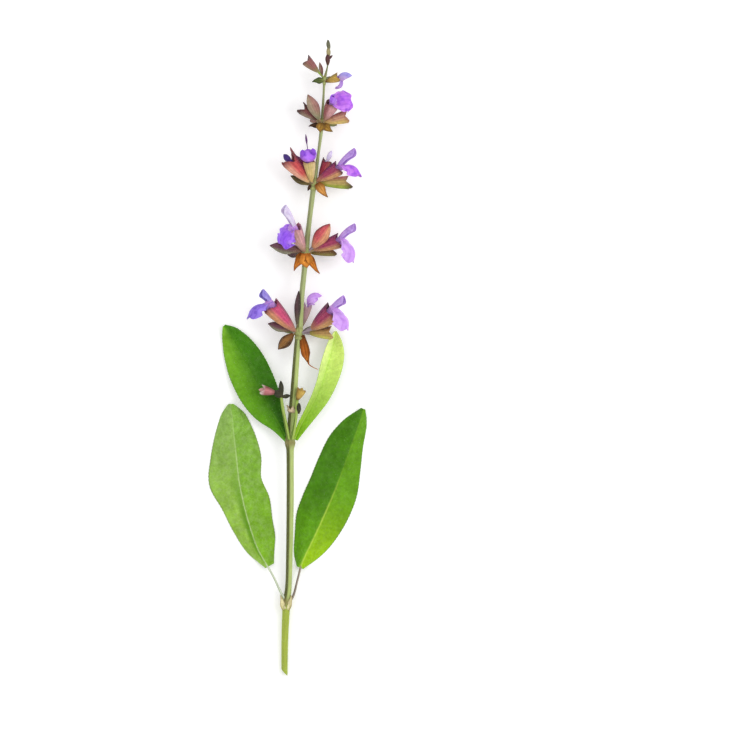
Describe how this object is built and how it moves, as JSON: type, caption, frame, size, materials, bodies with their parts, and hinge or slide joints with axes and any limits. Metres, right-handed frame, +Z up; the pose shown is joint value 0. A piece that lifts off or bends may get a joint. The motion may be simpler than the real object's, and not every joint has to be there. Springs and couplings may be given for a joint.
{
  "type": "sage sprig",
  "caption": "Cut flowering sage sprig lying flat: square stem, long oval leaves, and whorls of toothed calyxes with lipped violet flowers.",
  "frame": {"origin": "middle of the bottom of the bounding box, on the surface that the sprig lies on", "axes": "+Y along the stem from the cut end to the top bud, +X to the right seen from above with the tip away from the viewer, +Z up from the surface"},
  "size_m": [0.0628, 0.2548, 0.0244],
  "materials": {
    "stem_skin": "matte, finely hairy",
    "leaf_skin": "matte, wrinkled",
    "axil_bud": "matte",
    "calyx_skin": "matte, ribbed",
    "dry_bract": "dry, papery",
    "top_bud": "matte",
    "petal_violet": "soft satin",
    "petal_lilac": "soft satin"
  },
  "bodies": {
    "root": {"stem": "stem_skin", "leaf_lower_left": "leaf_skin", "leaf_lower_right": "leaf_skin", "leaf_upper_left": "leaf_skin", "leaf_upper_right": "leaf_skin", "shoot_left": "axil_bud", "shoot_right": "axil_bud", "top_buds": "top_bud", "dry_scales": "dry_bract", "calyxes_1": "calyx_skin", "bracts_1": "dry_bract", "calyxes_2": "calyx_skin", "bracts_2": "dry_bract", "calyxes_3": "calyx_skin", "bracts_3": "dry_bract", "calyxes_4": "calyx_skin", "bracts_4": "dry_bract", "calyxes_5": "calyx_skin", "bracts_5": "dry_bract", "corolla_1_left": "petal_violet", "corolla_1_back": "petal_violet", "corolla_1_right": "petal_lilac", "corolla_2_left": "petal_violet", "corolla_2_right": "petal_lilac", "corolla_3_left": "petal_violet", "corolla_3_front": "petal_violet", "corolla_3_middle": "petal_lilac", "corolla_3_right": "petal_lilac", "corolla_4_right": "petal_violet", "corolla_5_right": "petal_lilac"}
  },
  "joints": []
}
